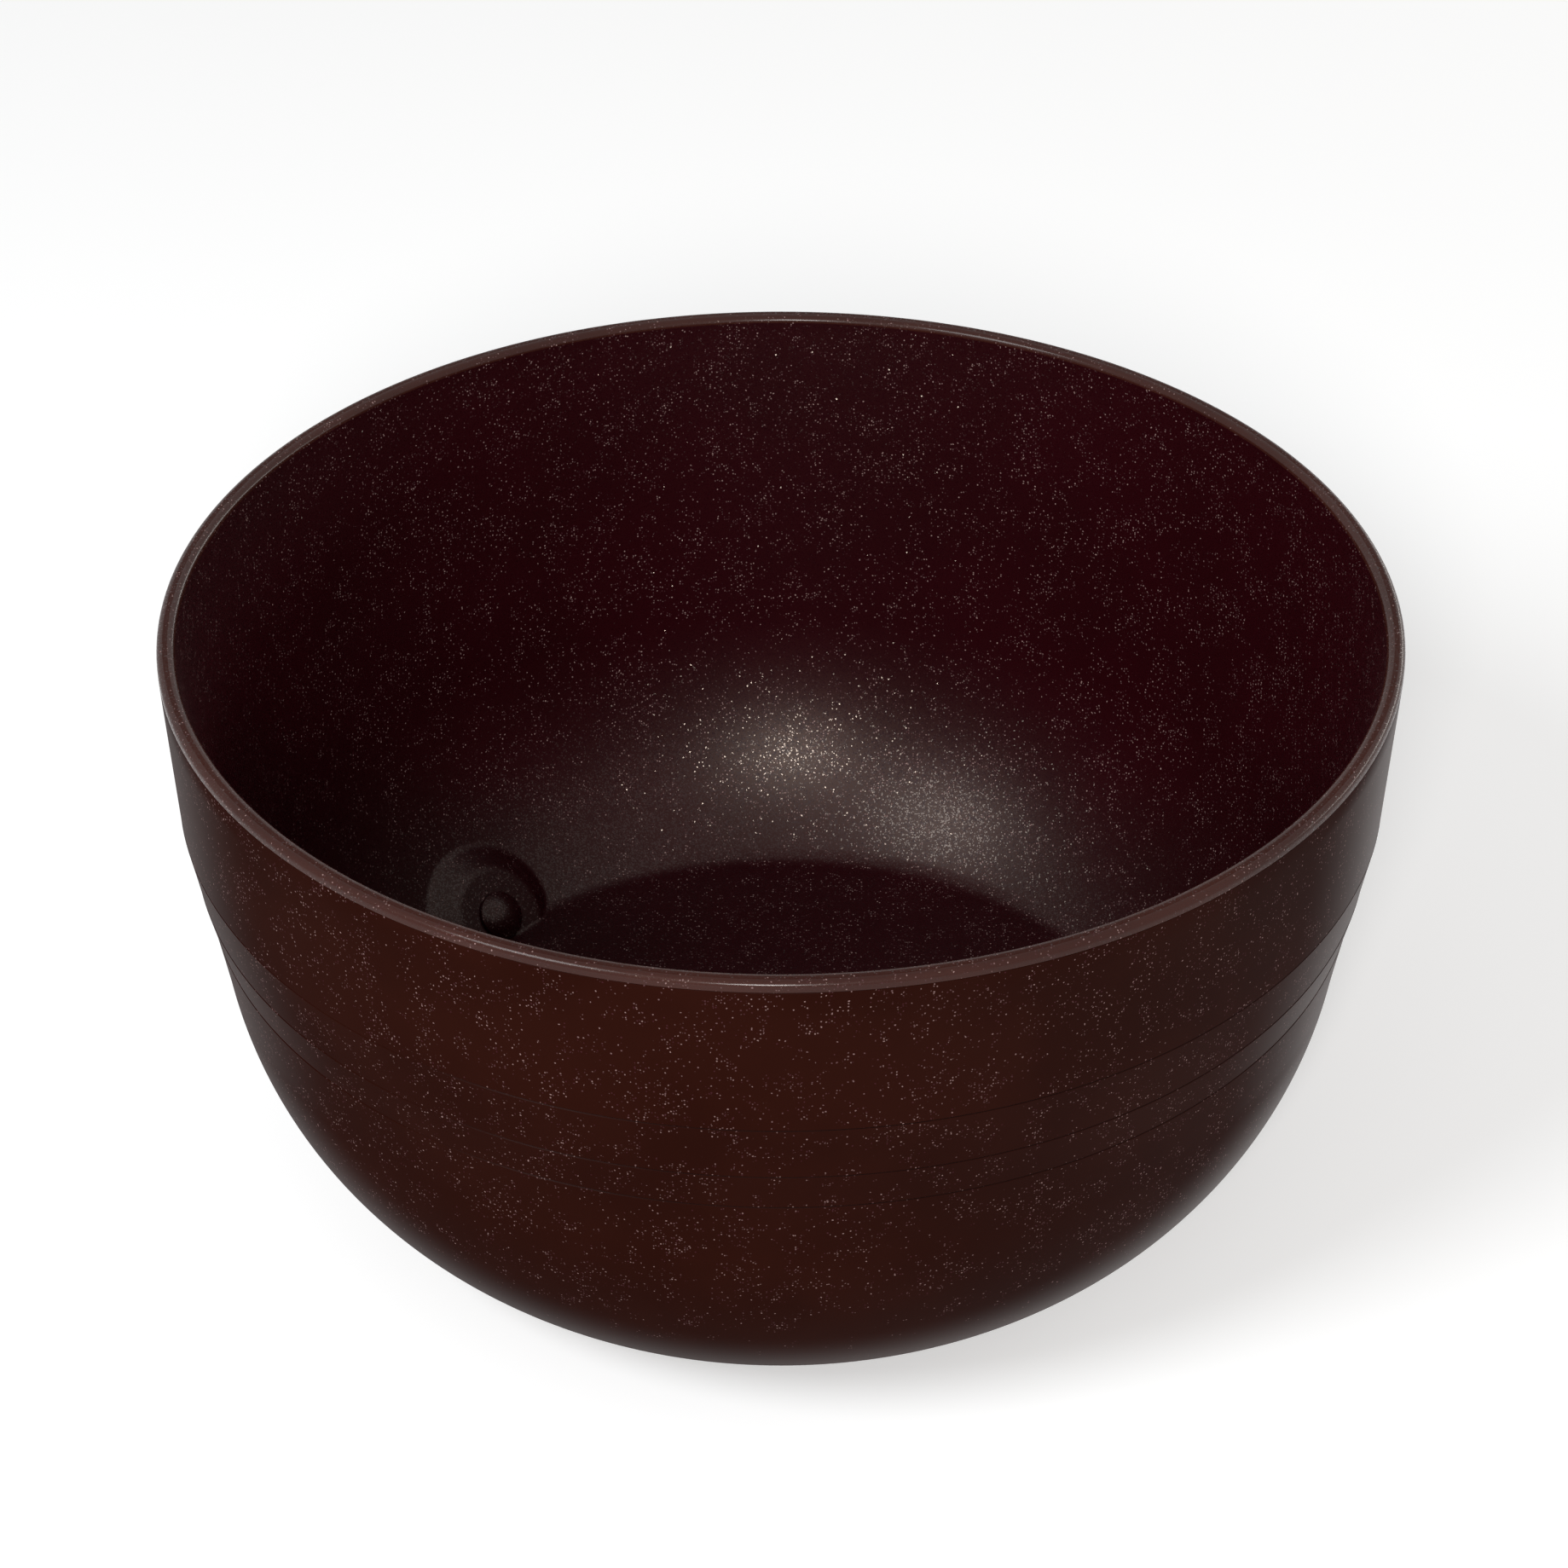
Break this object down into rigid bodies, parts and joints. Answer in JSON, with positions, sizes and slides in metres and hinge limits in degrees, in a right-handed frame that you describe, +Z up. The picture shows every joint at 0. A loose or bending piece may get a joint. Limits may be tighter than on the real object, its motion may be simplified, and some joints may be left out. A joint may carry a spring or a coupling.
{
  "type": "cold holding bowl",
  "caption": "Round double-skinned serving bowl with a speckled coat, a cooling gel core, ring lines on the outside and a plugged gel fill port low on its inner wall.",
  "frame": {"origin": "centre of the foot ring on the table plane", "axes": "+Z up through the middle of the rim, -Y towards the viewer of the picture, +X to the viewer's right"},
  "size_m": [0.3, 0.3, 0.1575],
  "materials": {
    "outer_coat": "satin",
    "inner_coat": "satin",
    "plug_coat": "satin",
    "gel": "satin",
    "seal": "matte",
    "cord": "matte",
    "spacer": "matte",
    "bush": "satin",
    "foot": "matte"
  },
  "bodies": {
    "bowl": {"outer_shell": "outer_coat", "inner_liner": "inner_coat", "rim_seal": "seal", "gel_core": "gel", "floor_spacer": "spacer", "port_bush": "bush", "foot_ring": "foot"},
    "plug": {"fill_plug": "plug_coat", "plug_seal": "cord"}
  },
  "joints": [
    {"name": "plug_lift", "type": "slide", "parent": "bowl", "child": "plug", "axis": [0.572, -0.5096, 0.6428], "range_m": [0, 0.12]}
  ]
}
